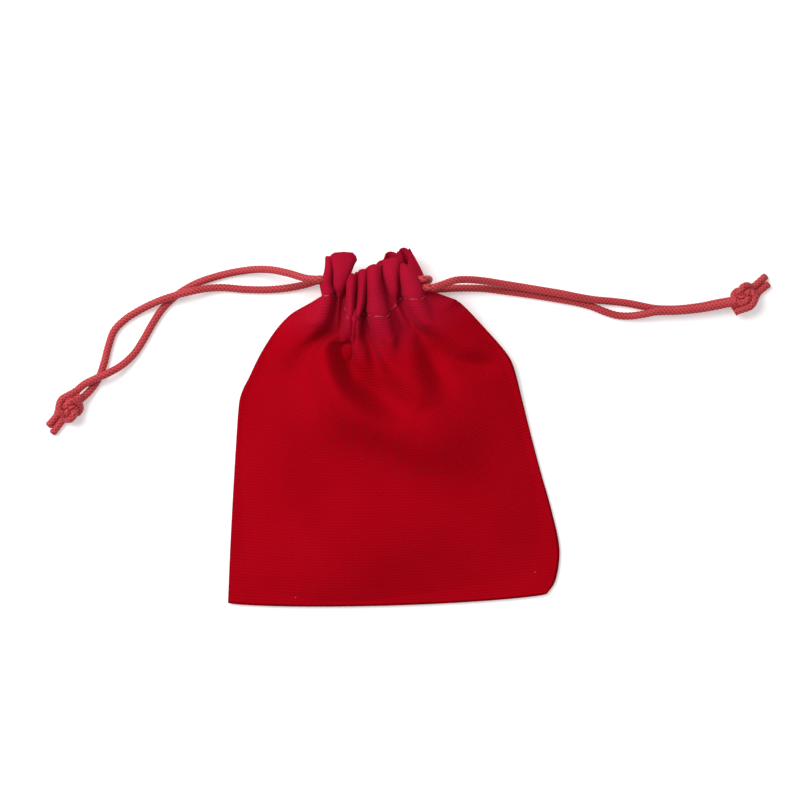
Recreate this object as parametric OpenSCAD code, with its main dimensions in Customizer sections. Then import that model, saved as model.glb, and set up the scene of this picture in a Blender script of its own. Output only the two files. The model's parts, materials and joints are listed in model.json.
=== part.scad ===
// Drawstring gift pouch, lying on its back with the mouth drawn shut.
// +X runs across the pouch, +Y from the bottom seam to the mouth, +Z up from the table.
// The origin is on the table, under the middle of the cloth. Lengths are in millimetres.

/* [Cloth] */
// Thickness of one layer of velvet
cloth = 0.8; // [0.6:0.1:1.0]
// How high the front panel stands over the back panel at mid body
puff = 8; // [7.8:0.1:8.1]
// How much further the front panel rises at the mouth
mouth_lift = 1.4; // [1.2:0.1:1.4]

/* [Mouth] */
// Width of the mouth when it is drawn shut
mouth_w = 32.6; // [32:0.2:34]
// Clear gap between the front and back casings
mouth_gap = 5.7; // [5.6:0.1:6.5]
// Depth of a front pleat, across the casing
front_pleat_d = 5.3; // [5.2:0.1:6]
// Depth of a back pleat, across the casing
back_pleat_d = 4.6; // [4.6:0.1:4.8]
// Wall of a pleat, two layers of velvet
pleat_wall = 1.4; // [1.2:0.1:1.6]

/* [Cord] */
// Diameter of the drawcord
cord_d = 2.2; // [1.8:0.1:2.3]
// Clearance around the drawcord in the casing
cord_clearance = 0.15; // [0.1:0.05:0.3]
// Length of each tail past its knot
tail_l = 6; // [4:0.5:10]

/* [Stitching] */
// Diameter of the sewing thread
thread_d = 0.4; // [0.3:0.05:0.5]
// Length of one stitch
stitch_l = 2.8; // [2:0.1:3.4]
// Distance from one stitch to the next
stitch_pitch = 3.8; // [3.6:0.1:5]

/* [Hidden] */

velvet = [0.68, 0.02, 0.09];
cord_red = [0.80, 0.20, 0.24];
thread_red = [0.62, 0.08, 0.12];

body_gap = 0.3;      // between pieces that slide past each other
mouth_x = -6;        // middle of the drawn mouth
mouth_y = 40;        // top edge of the panels at the side seams
front_sag = 6.5;     // how far the front panel's top edge dips at its middle
bottom_sag = 1.8;    // how far the bottom seam bows out
bottom_swell = 2.5;  // how sharply the front panel rises from the bottom seam
side_swell = 4;      // how steeply the front panel rises from the side seams
back_pleat_z = 0.2;
front_pleat_z = back_pleat_z + back_pleat_d + mouth_gap;

// Side seams, from the bottom corner up to the mouth.
left_edge = [[-51.3, -54.2], [-50.7, -39.2], [-49.8, -24.3], [-48.7, -9.3], [-47.2, 5.6], [-43, 19.5],
             [-35.2, 31.6], [mouth_x - mouth_w / 2, mouth_y]];
right_edge = [[48.2, -52], [50.9, -38.5], [48.1, -24], [44.6, -9.5], [41.4, 5], [36.7, 18.6],
              [28, 31.2], [mouth_x + mouth_w / 2, mouth_y]];

// Pleats of the casing, from left to right: widths, and how far up each reaches.
front_widths = [6, 7, 10.5, mouth_w - 23.5 - 3 * body_gap];
back_widths = [for (i = [0:3]) (mouth_w - 3 * body_gap) / 4];
front_tops = [53.6, 50.4, 51.6, 55.4];
back_tops = [52, 54, 54.8, 53.4];

// Height of the drawcords in the front and back casings, and their places up the casing.
front_cord_z = front_pleat_z + 2.4;
back_cord_z = back_pleat_z + pleat_wall + cord_d / 2 + 2 * cord_clearance;
left_cord_y = 45;
right_cord_y = left_cord_y - cord_d - 2 * cord_clearance;
// The casing's channel, with the two drawcords side by side.
channel_w = 2 * cord_d + 4 * cord_clearance;
cord_r = cord_d / 2;
floor_z = cord_r;       // centre of a cord that lies on the table
over_z = 3 * cord_r + 0.2;  // centre of a cord that lies on another
knot_z = 4.4;

// The drawcords' free strands, from the casing to the knot.
left_upper_route = [
    [-23, left_cord_y, front_cord_z], [-24, left_cord_y, front_cord_z], [-27, 45.4, 11.8],
    [-32, 47, 9.4], [-37, 48.2, 6.4], [-42, 48.6, 3.6],
    [-47, 48.2, 1.8], [-52, 47.3, floor_z], [-57, 45.9, floor_z], [-61, 44.4, floor_z],
    [-65, 42.2, floor_z], [-68.4, 39.6, floor_z], [-71.5, 36.4, floor_z], [-74.4, 32, floor_z],
    [-77, 27.4, floor_z], [-80, 22.8, 1.3], [-83.6, 19.3, 2.3], [-87.5, 16.9, over_z],
    [-91.4, 15.2, over_z], [-95, 13.4, 3.2], [-97.6, 11, 3.6], [-99, 8.6, 4.2]
];
left_lower_route = [
    [-23, left_cord_y, back_cord_z], [-24, left_cord_y, back_cord_z], [-28, 43.9, 1.9],
    [-33, 43, 1.3], [-39, 42.5, floor_z], [-46, 42.6, floor_z],
    [-52.5, 43.1, 1.4], [-57.5, 42.8, 2.4], [-62, 41.9, over_z], [-66.5, 40.8, over_z],
    [-71, 39.4, 3.1], [-75, 37.8, 2.2], [-79, 35.8, 1.4], [-83, 33.2, floor_z], [-86.2, 29.8, floor_z],
    [-87.9, 25.2, floor_z], [-89.2, 20.2, floor_z], [-91, 15.2, floor_z], [-93.8, 11.2, 1.6],
    [-96.8, 8.2, 3.2]
];
right_upper_route = [
    [11, right_cord_y, front_cord_z], [12, right_cord_y, front_cord_z], [14.5, 43.4, 12],
    [18.5, 44.8, 10.8], [23, 45.1, 8.6], [28, 44.8, 6.2],
    [33, 44.1, 4.4], [39, 43.2, over_z], [45, 42.2, over_z], [51, 41.2, over_z], [57, 40, 3.1],
    [62, 39.3, 2.1], [67, 38.9, 1.3], [72, 38.3, floor_z], [76.5, 37.4, floor_z], [80.5, 36.7, floor_z],
    [87, 36.6, floor_z], [94, 37.4, 1.3], [100, 38.6, 2.2], [105.4, 39.4, 3.4]
];
right_lower_route = [
    [11, right_cord_y, back_cord_z], [12, right_cord_y, back_cord_z], [15, 42.7, 1.9],
    [20, 43, 1.3], [27, 42.9, floor_z], [33, 42.2, floor_z],
    [39, 41.4, floor_z], [45, 40.5, floor_z], [51, 39.5, floor_z], [56, 38.6, floor_z],
    [60.5, 37.4, floor_z], [64.5, 35.8, floor_z], [68.5, 34.6, floor_z], [72.5, 34.4, 1.6],
    [76.5, 34.9, 2.8], [80.5, 35.6, over_z], [87, 35.8, over_z], [94, 36.5, 3.8], [100, 37.6, 4.2],
    [104.6, 38.6, 4.8]
];
left_knot_at = [-100.2, 6.4, knot_z];
right_knot_at = [107.8, 39.8, knot_z];
left_tail_turn = 231;   // direction of the left tails in the table's plane
right_tail_turn = 40;
tail_droop = 18;        // how far the tails lean down to the table
tail_x = 2.4;           // where the tails leave the knot, from its middle
tail_y = 1.2;           // half the distance between the tails
tip_l = 0.5;            // length of a melted end
knot_core_r = 3.1;
knot_turn_r = 3.05;     // radius of each turn of cord round the knot
knot_turn_d = 2.3;
knot_turn_x = 1.1;      // how far each turn is from the knot's middle
knot_lean = 12;         // how far the turns lean
loop_bend = 2.2;        // how a drawcord turns round the side seam
loop_corner = [0.6, 0.8];
loop_reach = 1.8;       // how far a drawcord's loop stands out beyond the mouth
left_exit_x = -22.9;    // where each cord's free strands begin
right_exit_x = 10.9;
crown_min = 1.6;        // the straight part of a pleat's wall, below its rounded crown
stitch_rise = 0.9;      // height of the casing's stitches over its lower edge

// A smooth curve through the points, given at t from 0 to 1.
function through(p, t) =
    let (n = len(p) - 1, s = min(t * n, n - 0.00001), i = floor(s), f = s - i,
         a = p[max(i - 1, 0)], b = p[i], c = p[i + 1], d = p[min(i + 2, n)])
    0.5 * (2 * b + (c - a) * f + (2 * a - 5 * b + 4 * c - d) * f * f
           + (3 * b - a - 3 * c + d) * f * f * f);

// A point of the pouch's outline plan: u runs from the left seam to the right, v from bottom to mouth.
// Both side curves are pulled in by inset, and the bottom is pulled up by it.
function plan(u, v, sag, inset = 0) =
    let (l = through(left_edge, v) + [inset, inset * (1 - v)],
         r = through(right_edge, v) + [-inset, inset * (1 - v)],
         bow = bottom_sag * pow(1 - v, 6) * (1 - pow(abs(2 * u - 1), 2)),
         dip = sag * pow(v, 5) * (1 - abs(2 * u - 1)))
    l * (1 - u) + r * u - [0, bow + dip];

// Height of the front panel's outer face over the back panel.
function swell(u, v) =
    (puff * (1 - pow(1 - v, bottom_swell)) + mouth_lift * pow(v, 4))
    * (1 - pow(abs(2 * u - 1), side_swell));

function outer_point(u, v) = let (p = plan(u, v, front_sag)) [p.x, p.y, cloth + swell(u, v)];
function inner_point(u, v) =
    let (p = plan(u, v, front_sag, cloth)) [p.x, p.y, cloth + max(0, swell(u, v) - cloth)];

function unit(v) = v / norm(v);

// Faces between row a and row b of a grid with the given number of columns.
function strip(a, b, columns) = [for (i = [0:columns - 2]) [a + i, a + i + 1, b + i + 1, b + i]];

// A tube of radius r along a route; side is a direction that the route never follows.
module tube(route, r, side = [0, 0, 1], sides = 8) {
    n = len(route);
    points = [
        for (i = [0:n - 1])
            let (t = unit(route[min(i + 1, n - 1)] - route[max(i - 1, 0)]),
                 a = unit(cross(t, side)), b = cross(t, a))
                for (k = [0:sides - 1])
                    route[i] + r * (cos(k * 360 / sides) * a + sin(k * 360 / sides) * b)
    ];
    walls = [
        for (i = [0:n - 2]) for (k = [0:sides - 1])
            [i * sides + k, i * sides + (k + 1) % sides,
             (i + 1) * sides + (k + 1) % sides, (i + 1) * sides + k]
    ];
    start = [[for (k = [0:sides - 1]) sides - 1 - k]];
    end = [[for (k = [0:sides - 1]) (n - 1) * sides + k]];
    polyhedron(points, concat(walls, start, end), convexity = 10);
}

// The domed velvet panel, from the bottom seam to the casing's stitch line.
module front_panel() {
    columns = 29;
    rows = 29;
    size = columns * rows;
    us = [for (i = [0:columns - 1]) (1 - cos(180 * i / (columns - 1))) / 2];
    vs = [for (j = [0:rows - 1]) pow(j / (rows - 1), 1.3)];
    points = concat([for (v = vs) for (u = us) outer_point(u, v)],
                    [for (v = vs) for (u = us) inner_point(u, v)]);
    top = (rows - 1) * columns;
    skin = [for (j = [0:rows - 2]) each strip((j + 1) * columns, j * columns, columns)];
    lining = [for (j = [0:rows - 2]) each strip(size + j * columns, size + (j + 1) * columns, columns)];
    bottom = strip(0, size, columns);
    mouth = strip(size + top, top, columns);
    left = [for (j = [0:rows - 2])
        [j * columns, size + j * columns, size + (j + 1) * columns, (j + 1) * columns]];
    right = [for (j = [0:rows - 2])
        [(j + 2) * columns - 1, size + (j + 2) * columns - 1,
         size + (j + 1) * columns - 1, (j + 1) * columns - 1]];
    color(velvet) polyhedron(points, concat(skin, lining, bottom, mouth, left, right), convexity = 6);
}

// The flat velvet panel that the pouch lies on.
module back_panel() {
    steps = 24;
    left = [for (j = [0:steps]) plan(0, j / steps, 0)];
    right = [for (j = [0:steps]) plan(1, 1 - j / steps, 0)];
    bottom = [for (i = [1:steps - 1]) plan(1 - i / steps, 0, 0)];
    color(velvet) linear_extrude(cloth) polygon(concat(left, right, bottom));
}

// A row of stitches in the seam between the panels, along the line u(t), v(t).
module seam_stitches(from, to) {
    inset = 1.6 * cloth;
    a = plan(from.x, from.y, 0, inset);
    b = plan((from.x + to.x) / 2, (from.y + to.y) / 2, 0, inset);
    c = plan(to.x, to.y, 0, inset);
    count = floor((norm(b - a) + norm(c - b)) / stitch_pitch);
    color(thread_red) for (i = [0:count - 1]) {
        t = (i + 0.5) / count;
        at = plan(from.x + (to.x - from.x) * t, from.y + (to.y - from.y) * t, 0, inset);
        next = plan(from.x + (to.x - from.x) * (t + 0.01),
                    from.y + (to.y - from.y) * (t + 0.01), 0, inset);
        turn = atan2(next.y - at.y, next.x - at.x);
        translate([at.x, at.y, cloth]) rotate([0, 90, turn])
            cylinder(h = stitch_l, d = thread_d, center = true, $fn = 16);
    }
}

// Left end of pleat i in a row of widths.
function pleat_left(widths, i) =
    i == 0 ? mouth_x - mouth_w / 2 : pleat_left(widths, i - 1) + widths[i - 1] + body_gap;

// Height of the casing's lower edge at x: level at the back, a shallow V at the front.
function foot_at(x, sag) = mouth_y + body_gap - sag * (1 - abs(x - mouth_x) / (mouth_w / 2));

// A pleat's cross-section: flat on the inner side, rounded on the crown.
module arch(w, d) {
    r = min(w / 2, d - crown_min);
    intersection() {
        union() {
            for (x = [-1, 1]) translate([x * (w / 2 - r), d - r]) circle(r = r, $fn = 48);
            translate([-w / 2, 0]) square([w, d - r]);
            if (w > 2 * r) translate([r - w / 2, 0]) square([w - 2 * r, d]);
        }
        translate([-w / 2, 0]) square([w, d]);
    }
}

// The face of the channel that the drawcords press against: over them (1) or under them (-1).
function channel_z(cord_z, way) = cord_z + way * (cord_r + cord_clearance);

// One gathered fold of the casing: an arched double layer, with the drawcords' channel across it.
module pleat(x, w, d, top, sag, z, cord_z, crown_up) {
    low = mouth_y - sag - 1;
    ends = [x - w / 2 - 1, x + w / 2 + 1];
    color(velvet) difference() {
        translate([x, top, crown_up ? z : z + d]) mirror([0, 0, crown_up ? 0 : 1]) rotate([90, 0, 0])
            linear_extrude(top - low) difference() {
                arch(w, d);
                translate([0, -pleat_wall]) arch(w - 2 * pleat_wall, d);
            }
        translate([0, 0, z - 1]) linear_extrude(d + 2)
            polygon([[ends[0], low - 1], [ends[1], low - 1],
                     [ends[1], foot_at(ends[1], sag)], [ends[0], foot_at(ends[0], sag)]]);
        channel = crown_up ? [z - 1, channel_z(cord_z, 1)] : [channel_z(cord_z, -1), z + d + 1];
        translate([x - w, (left_cord_y + right_cord_y - channel_w) / 2, channel[0]])
            cube([2 * w, channel_w, channel[1] - channel[0]]);
    }
}

function front_pleat_x(i) = pleat_left(front_widths, i) + front_widths[i] / 2;
function back_pleat_x(i) = pleat_left(back_widths, i) + back_widths[i] / 2;

module front_pleat(i)
    pleat(front_pleat_x(i), front_widths[i], front_pleat_d, front_tops[i], front_sag,
          front_pleat_z, front_cord_z, true);

module back_pleat(i)
    pleat(back_pleat_x(i), back_widths[i], back_pleat_d, back_tops[i], 0,
          back_pleat_z, back_cord_z, false);

// Stitches of the casing's line on one pleat, sunk in its crown.
module pleat_stitches(middle, w, sag, z) {
    count = max(1, floor((w - 2) / stitch_pitch));
    color(thread_red) for (i = [0:count - 1]) {
        x = middle + (i - (count - 1) / 2) * stitch_pitch;
        translate([x, foot_at(x, sag) + stitch_rise, z]) rotate([0, 90, 0])
            cylinder(h = stitch_l, d = 2 * thread_d, center = true, $fn = 16);
    }
}

module front_pleat_stitches(i)
    pleat_stitches(front_pleat_x(i), front_widths[i], front_sag,
                   front_pleat_z + front_pleat_d - 2 * thread_d);

module back_pleat_stitches(i)
    pleat_stitches(back_pleat_x(i), back_widths[i], 0, back_pleat_z + 2 * thread_d);

// The part of a drawcord inside the casings: along the front, round the far seam, and along the back.
// near is the end where its two strands leave, far the end where it turns.
module cord_loop(near, far, y) {
    way = sign(far - near);
    middle = (near + far) / 2;
    corner_x = far - way * loop_corner.x;
    color(cord_red) tube([
        [near, y, front_cord_z], [middle, y, front_cord_z], [far - way * loop_bend, y, front_cord_z],
        [corner_x, y, front_cord_z - loop_corner.y], [far, y, front_cord_z - loop_bend],
        [far, y, back_cord_z + loop_bend], [corner_x, y, back_cord_z + loop_corner.y],
        [far - way * loop_bend, y, back_cord_z], [middle, y, back_cord_z], [near, y, back_cord_z]
    ], cord_r, [0, 1, 0]);
}

module left_cord_loop() cord_loop(left_exit_x, mouth_x + mouth_w / 2 + loop_reach, left_cord_y);
module right_cord_loop() cord_loop(right_exit_x, mouth_x - mouth_w / 2 - loop_reach, right_cord_y);
module left_cord_upper_strand() color(cord_red) tube(left_upper_route, cord_r);
module left_cord_lower_strand() color(cord_red) tube(left_lower_route, cord_r);
module right_cord_upper_strand() color(cord_red) tube(right_upper_route, cord_r);
module right_cord_lower_strand() color(cord_red) tube(right_lower_route, cord_r);

// An overhand knot tied in both strands together, drawn tight: a core with two turns across it.
module knot(at, turn) {
    color(cord_red) translate(at) rotate([0, 0, turn]) {
        sphere(r = knot_core_r, $fn = 32);
        for (side = [-1, 1])
            translate([side * knot_turn_x, 0, 0]) rotate([0, 90 + side * knot_lean, 0])
                rotate_extrude($fn = 48) translate([knot_turn_r, 0]) circle(d = knot_turn_d, $fn = 24);
    }
}

// The two ends of a drawcord past its knot, side by side.
module tails(at, turn) {
    color(cord_red) translate(at) rotate([0, 0, turn]) for (side = [-1, 1])
        translate([tail_x, side * tail_y, 0]) rotate([0, 90 + tail_droop, 0])
            cylinder(h = tail_l, d = cord_d, $fn = 32);
}

// The melted ends that keep the braid from fraying.
module tips(at, turn) {
    color(cord_red) translate(at) rotate([0, 0, turn]) for (side = [-1, 1])
        translate([tail_x, side * tail_y, 0]) rotate([0, 90 + tail_droop, 0])
            translate([0, 0, tail_l]) cylinder(h = tip_l, d1 = cord_d, d2 = 0.8 * cord_d, $fn = 32);
}

module left_knot() knot(left_knot_at, left_tail_turn);
module left_cord_tails() tails(left_knot_at, left_tail_turn);
module left_cord_tips() tips(left_knot_at, left_tail_turn);
module right_knot() knot(right_knot_at, right_tail_turn);
module right_cord_tails() tails(right_knot_at, right_tail_turn);
module right_cord_tips() tips(right_knot_at, right_tail_turn);

front_panel();
back_panel();
seam_stitches([0, 0.02], [0, 0.98]);  // left_seam_stitches
seam_stitches([1, 0.02], [1, 0.98]);  // right_seam_stitches
seam_stitches([0.02, 0], [0.98, 0]);  // bottom_seam_stitches
front_pleat(0);  // front_pleat_1
front_pleat(1);  // front_pleat_2
front_pleat(2);  // front_pleat_3
front_pleat(3);  // front_pleat_4
back_pleat(0);  // back_pleat_1
back_pleat(1);  // back_pleat_2
back_pleat(2);  // back_pleat_3
back_pleat(3);  // back_pleat_4
front_pleat_stitches(0);  // front_pleat_1_stitches
front_pleat_stitches(1);  // front_pleat_2_stitches
front_pleat_stitches(2);  // front_pleat_3_stitches
front_pleat_stitches(3);  // front_pleat_4_stitches
back_pleat_stitches(0);  // back_pleat_1_stitches
back_pleat_stitches(1);  // back_pleat_2_stitches
back_pleat_stitches(2);  // back_pleat_3_stitches
back_pleat_stitches(3);  // back_pleat_4_stitches
left_cord_loop();
right_cord_loop();
left_cord_upper_strand();
left_cord_lower_strand();
left_knot();
left_cord_tails();
left_cord_tips();
right_cord_upper_strand();
right_cord_lower_strand();
right_knot();
right_cord_tails();
right_cord_tips();
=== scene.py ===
"""The looks of a velvet drawstring gift pouch, lying flat with its mouth drawn shut.

The cloth is simulated: two flat layers, sewn at the sides and the bottom, are gathered along their
casing line. It is then cut into pieces where the moving mouth needs it. Lengths are in millimetres.
"""

import math

import bmesh
import bpy
import numpy as np
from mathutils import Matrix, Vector
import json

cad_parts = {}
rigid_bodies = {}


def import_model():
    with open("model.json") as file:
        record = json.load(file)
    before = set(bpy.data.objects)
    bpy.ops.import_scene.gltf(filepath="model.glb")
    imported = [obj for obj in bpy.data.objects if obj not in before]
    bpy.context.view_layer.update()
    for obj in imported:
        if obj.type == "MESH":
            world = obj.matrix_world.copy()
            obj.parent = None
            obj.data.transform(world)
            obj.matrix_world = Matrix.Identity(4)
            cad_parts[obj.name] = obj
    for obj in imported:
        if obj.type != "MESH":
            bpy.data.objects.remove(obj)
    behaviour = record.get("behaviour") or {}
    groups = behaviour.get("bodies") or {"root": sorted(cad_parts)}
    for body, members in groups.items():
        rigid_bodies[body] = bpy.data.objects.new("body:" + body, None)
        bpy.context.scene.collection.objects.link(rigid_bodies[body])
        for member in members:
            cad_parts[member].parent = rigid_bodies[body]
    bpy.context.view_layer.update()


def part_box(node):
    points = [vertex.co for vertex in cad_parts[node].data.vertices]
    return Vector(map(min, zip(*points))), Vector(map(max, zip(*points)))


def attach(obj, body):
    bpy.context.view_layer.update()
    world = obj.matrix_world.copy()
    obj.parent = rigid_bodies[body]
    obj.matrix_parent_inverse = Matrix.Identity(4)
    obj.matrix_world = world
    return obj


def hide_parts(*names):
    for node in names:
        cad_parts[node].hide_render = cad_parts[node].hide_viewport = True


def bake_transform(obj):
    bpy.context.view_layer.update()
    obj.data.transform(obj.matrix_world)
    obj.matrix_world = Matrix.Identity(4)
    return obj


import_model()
MM = 0.001
rng = np.random.default_rng(7)

# ---- driving dimensions
CLOTH_W = 102.5  # the pouch's flat width
BODY_H = 103.0  # from the bottom seam to the casing's stitches
HEADER_H = 14.0  # from the stitches to the fold at the top
BACK_HEADER_H = 12.0  # the same at the back
CLOTH_T = 0.75  # one layer of velvet
HEADER_T = 1.0  # the casing, two layers squeezed
CORD_D = 2.2
THREAD_R = 0.15
STITCH_L = 2.9
STITCH_GAP = 1.1

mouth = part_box("front_pleat_1"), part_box("front_pleat_4")
NECK_L = mouth[0][0][0] / MM
NECK_R = mouth[1][1][0] / MM
NECK_X = (NECK_L + NECK_R) / 2
NECK_HALF = (NECK_R - NECK_L) / 2
CORD_Y = {side: (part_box(side + "_cord_loop")[0][1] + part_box(side + "_cord_loop")[1][1]) / 2 / MM
          for side in ("left", "right")}
FRONT_CORD_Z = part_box("left_cord_loop")[1][2] / MM - CORD_D / 2
BACK_CORD_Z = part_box("left_cord_loop")[0][2] / MM + CORD_D / 2

# ---- camera
CAMERA_AT = (1.7, 8.6)  # the middle of the view, on the table
VIEW_W = 246.4
LENS = 85.0
SENSOR_W = 36.0


def add_object(name, data):
    thing = bpy.data.objects.new(name, data)
    bpy.context.scene.collection.objects.link(thing)
    return thing


def make_camera():
    data = bpy.data.cameras.new("camera")
    data.lens = LENS
    data.sensor_width = SENSOR_W
    camera = add_object("camera", data)
    distance = VIEW_W * LENS / SENSOR_W
    camera.location = (CAMERA_AT[0] * MM, CAMERA_AT[1] * MM, distance * MM)
    bpy.context.scene.camera = camera


make_camera()


# ---- curves
def spline(points, t):
    """Points of the Catmull-Rom curve through the given ones, for t from 0 to 1."""
    p = np.asarray(points, float)
    last = len(p) - 1
    t = np.clip(np.asarray(t, float) * last, 0, last - 1e-9)
    i = t.astype(int)
    f = (t - i)[:, None]
    a, b, c, d = p[np.maximum(i - 1, 0)], p[i], p[i + 1], p[np.minimum(i + 2, last)]
    return 0.5 * (2 * b + (c - a) * f + (2 * a - 5 * b + 4 * c - d) * f**2 + (3 * b - a - 3 * c + d) * f**3)


def run_along(line):
    """How far along the line each of its points is."""
    return np.concatenate([[0], np.cumsum(np.linalg.norm(np.diff(line, axis=0), axis=1))])


def evenly(line, count):
    """Points spaced evenly along the line."""
    run = run_along(line)
    want = np.linspace(0, run[-1], count)
    return np.stack([np.interp(want, run, values) for values in line.T], 1)


def curve(points, count):
    return evenly(spline(points, np.linspace(0, 1, 2000)), count)


def new_object(name, vertices, faces, material):
    mesh = bpy.data.meshes.new(name)
    mesh.from_pydata(np.asarray(vertices, float).tolist(), [], faces)
    mesh.materials.append(material)
    return add_object(name, mesh)


# ---- materials
class Nodes:
    """Short names for building a material's nodes."""

    def __init__(self, name):
        self.material = bpy.data.materials.new(name)
        self.material.use_nodes = True
        self.tree = self.material.node_tree
        self.shader = self.tree.nodes["Principled BSDF"]

    def add(self, kind, settings=None, **inputs):
        node = self.tree.nodes.new(kind)
        for key, value in (settings or {}).items():
            setattr(node, key, value)
        for key, value in inputs.items():
            self.put(node.inputs[key.replace("_", " ")], value)
        return node

    def put(self, socket, value):
        if isinstance(value, bpy.types.NodeSocket):
            self.tree.links.new(value, socket)
        else:
            socket.default_value = value

    def math(self, operation, *values):
        node = self.add("ShaderNodeMath", {"operation": operation})
        for socket, value in zip(node.inputs, values):
            self.put(socket, value)
        return node.outputs[0]

    def noise(self, vector, scale, detail):
        node = self.add("ShaderNodeTexNoise", Vector=vector, Scale=scale, Detail=detail)
        return node.outputs["Fac"]

    def ramp(self, value, stops):
        node = self.add("ShaderNodeValToRGB")
        elements = node.color_ramp.elements
        while len(elements) < len(stops):
            elements.new(0.5)
        for element, (position, colour) in zip(elements, stops):
            element.position = position
            element.color = (*colour, 1.0)
        self.put(node.inputs[0], value)
        return node.outputs[0]

    def added(self, *pairs):
        """The sum of values, each times its share."""
        value, share = pairs[0]
        total = self.math("MULTIPLY", value, share)
        for value, share in pairs[1:]:
            total = self.math("MULTIPLY_ADD", value, share, total)
        return total

    def mix(self, amount, a, b):
        node = self.add("ShaderNodeMix", {"data_type": "RGBA"})
        for index, value in ((0, amount), (6, a), (7, b)):
            self.put(node.inputs[index], value)
        return node.outputs[2]

    def bump(self, height, distance, strength):
        return self.add("ShaderNodeBump", Height=height, Distance=distance, Strength=strength).outputs[0]

    def surface(self, **inputs):
        for key, value in inputs.items():
            self.put(self.shader.inputs[key.replace("_", " ")], value)
        return self.material


RIB = 0.92  # from one rib of the knitted velvet to the next
PAINTED_SHEEN_FROM, PAINTED_SHEEN_OVER = BODY_H - 18, 20  # where the painted sheen, a pinker pile colour towards the neck, starts, and its fade


def velvet(name):
    """Warp-knitted velvet: ribs across the pouch, a short pile that catches light, painted sheen that turns
    it pinker towards the neck, and a little lint.
    """
    n = Nodes(name)
    weave = n.add("ShaderNodeUVMap", {"uv_map": "weave"}).outputs[0]  # metres across and up the flat cloth
    up = n.add("ShaderNodeSeparateXYZ", Vector=weave).outputs[1]
    drift = n.math("MULTIPLY", n.math("SUBTRACT", n.noise(weave, 90.0, 3.0), 0.5), 0.9 * MM)
    wave = n.math("SINE", n.math("MULTIPLY", n.math("ADD", up, drift), 2 * math.pi / (RIB * MM)))
    ribs = n.math("MULTIPLY", n.math("MULTIPLY_ADD", wave, 0.5, 0.5), n.noise(weave, 700.0, 2.0))
    on_body = n.math("LESS_THAN", up, BODY_H * MM)
    ribs = n.math("MULTIPLY", ribs, n.math("MULTIPLY_ADD", on_body, 0.6, 0.4))
    pile = n.noise(weave, 5200.0, 2.0)
    clumps = n.noise(weave, 1300.0, 3.0)
    cloudy = n.noise(weave, 38.0, 3.0)
    height = n.added((ribs, 0.95), (pile, 0.45), (clumps, 0.55))
    tone = n.added((ribs, 0.28), (clumps, 0.35), (cloudy, 0.45))
    deep = [(0.22, (0.275, 0.0008, 0.0044)), (0.5, (0.34, 0.0012, 0.0066)), (0.82, (0.40, 0.0026, 0.0110))]
    # The pinker tones are painted sheen, used towards the neck and the casing.
    pink = [(0.22, (0.285, 0.0042, 0.019)), (0.5, (0.355, 0.0062, 0.025)), (0.82, (0.42, 0.0098, 0.034))]
    # Painted sheen: towards the neck the pile's colour fades into the pinker tones, where the velvet's sheen
    # shows.
    painted_sheen = n.math("DIVIDE", n.math("SUBTRACT", up, PAINTED_SHEEN_FROM * MM), PAINTED_SHEEN_OVER * MM)
    painted_sheen = n.math("MINIMUM", n.math("MAXIMUM", painted_sheen, 0.0), 1.0)
    colour = n.mix(painted_sheen, n.ramp(tone, deep), n.ramp(tone, pink))
    lint_cells = n.add("ShaderNodeTexVoronoi", Vector=weave, Scale=260.0, Randomness=1.0)
    far = n.math("GREATER_THAN", n.noise(weave, 210.0, 0.0), 0.70)
    lint = n.math("MULTIPLY", n.math("LESS_THAN", lint_cells.outputs["Distance"], 0.05), far)
    colour = n.mix(n.math("MULTIPLY", lint, 0.5), colour, (0.75, 0.38, 0.40, 1.0))
    return n.surface(
        Base_Color=colour,
        Roughness=n.math("MULTIPLY_ADD", clumps, 0.14, 0.80),
        Normal=n.bump(height, 0.16 * MM, 0.75),
        Specular_IOR_Level=0.0,
        Sheen_Weight=0.26,
        Sheen_Roughness=0.28,
        Sheen_Tint=(1.0, 0.08, 0.17, 1.0),
    )


def braid(name, base, light):
    """Braided cord: the yarns are in the mesh, and the material gives them their fibres and colour, with
    painted shade between the yarns and painted highlight on their crowns.
    """
    n = Nodes(name)
    lay = n.add("ShaderNodeUVMap", {"uv_map": "lay"}).outputs[0]  # metres along the cord and round it
    raised = n.add("ShaderNodeAttribute", {"attribute_name": "raised"}).outputs["Fac"]
    fibres = n.noise(lay, 6500.0, 2.0)
    stain = n.noise(lay, 160.0, 2.0)
    # Painted shade and highlight: the colour is dark in the grooves between the yarns and light on the raised
    # yarns.
    tone = n.added((raised, 0.62), (fibres, 0.25), (stain, 0.16))
    colour = n.ramp(tone, [(0.14, [0.25 * v for v in base]), (0.45, base), (0.85, light)])
    return n.surface(
        Base_Color=colour,
        Roughness=n.math("MULTIPLY_ADD", fibres, 0.2, 0.42),
        Normal=n.bump(fibres, 0.05 * MM, 0.6),
        Specular_IOR_Level=0.22,
        Sheen_Weight=0.12,
        Sheen_Roughness=0.4,
        Sheen_Tint=(1.0, 0.4, 0.4, 1.0),
    )


def thread():
    """Twisted sewing thread."""
    n = Nodes("sewing_thread")
    place = n.add("ShaderNodeTexCoord").outputs["Object"]
    bands = {"bands_direction": "DIAGONAL"}
    ply = n.add("ShaderNodeTexWave", bands, Vector=place, Scale=900.0, Distortion=1.5).outputs["Fac"]
    colour = n.ramp(ply, [(0.2, (0.34, 0.010, 0.022)), (0.8, (0.50, 0.055, 0.075))])
    return n.surface(Base_Color=colour, Roughness=0.45, Normal=n.bump(ply, 0.05 * MM, 0.6))


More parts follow.
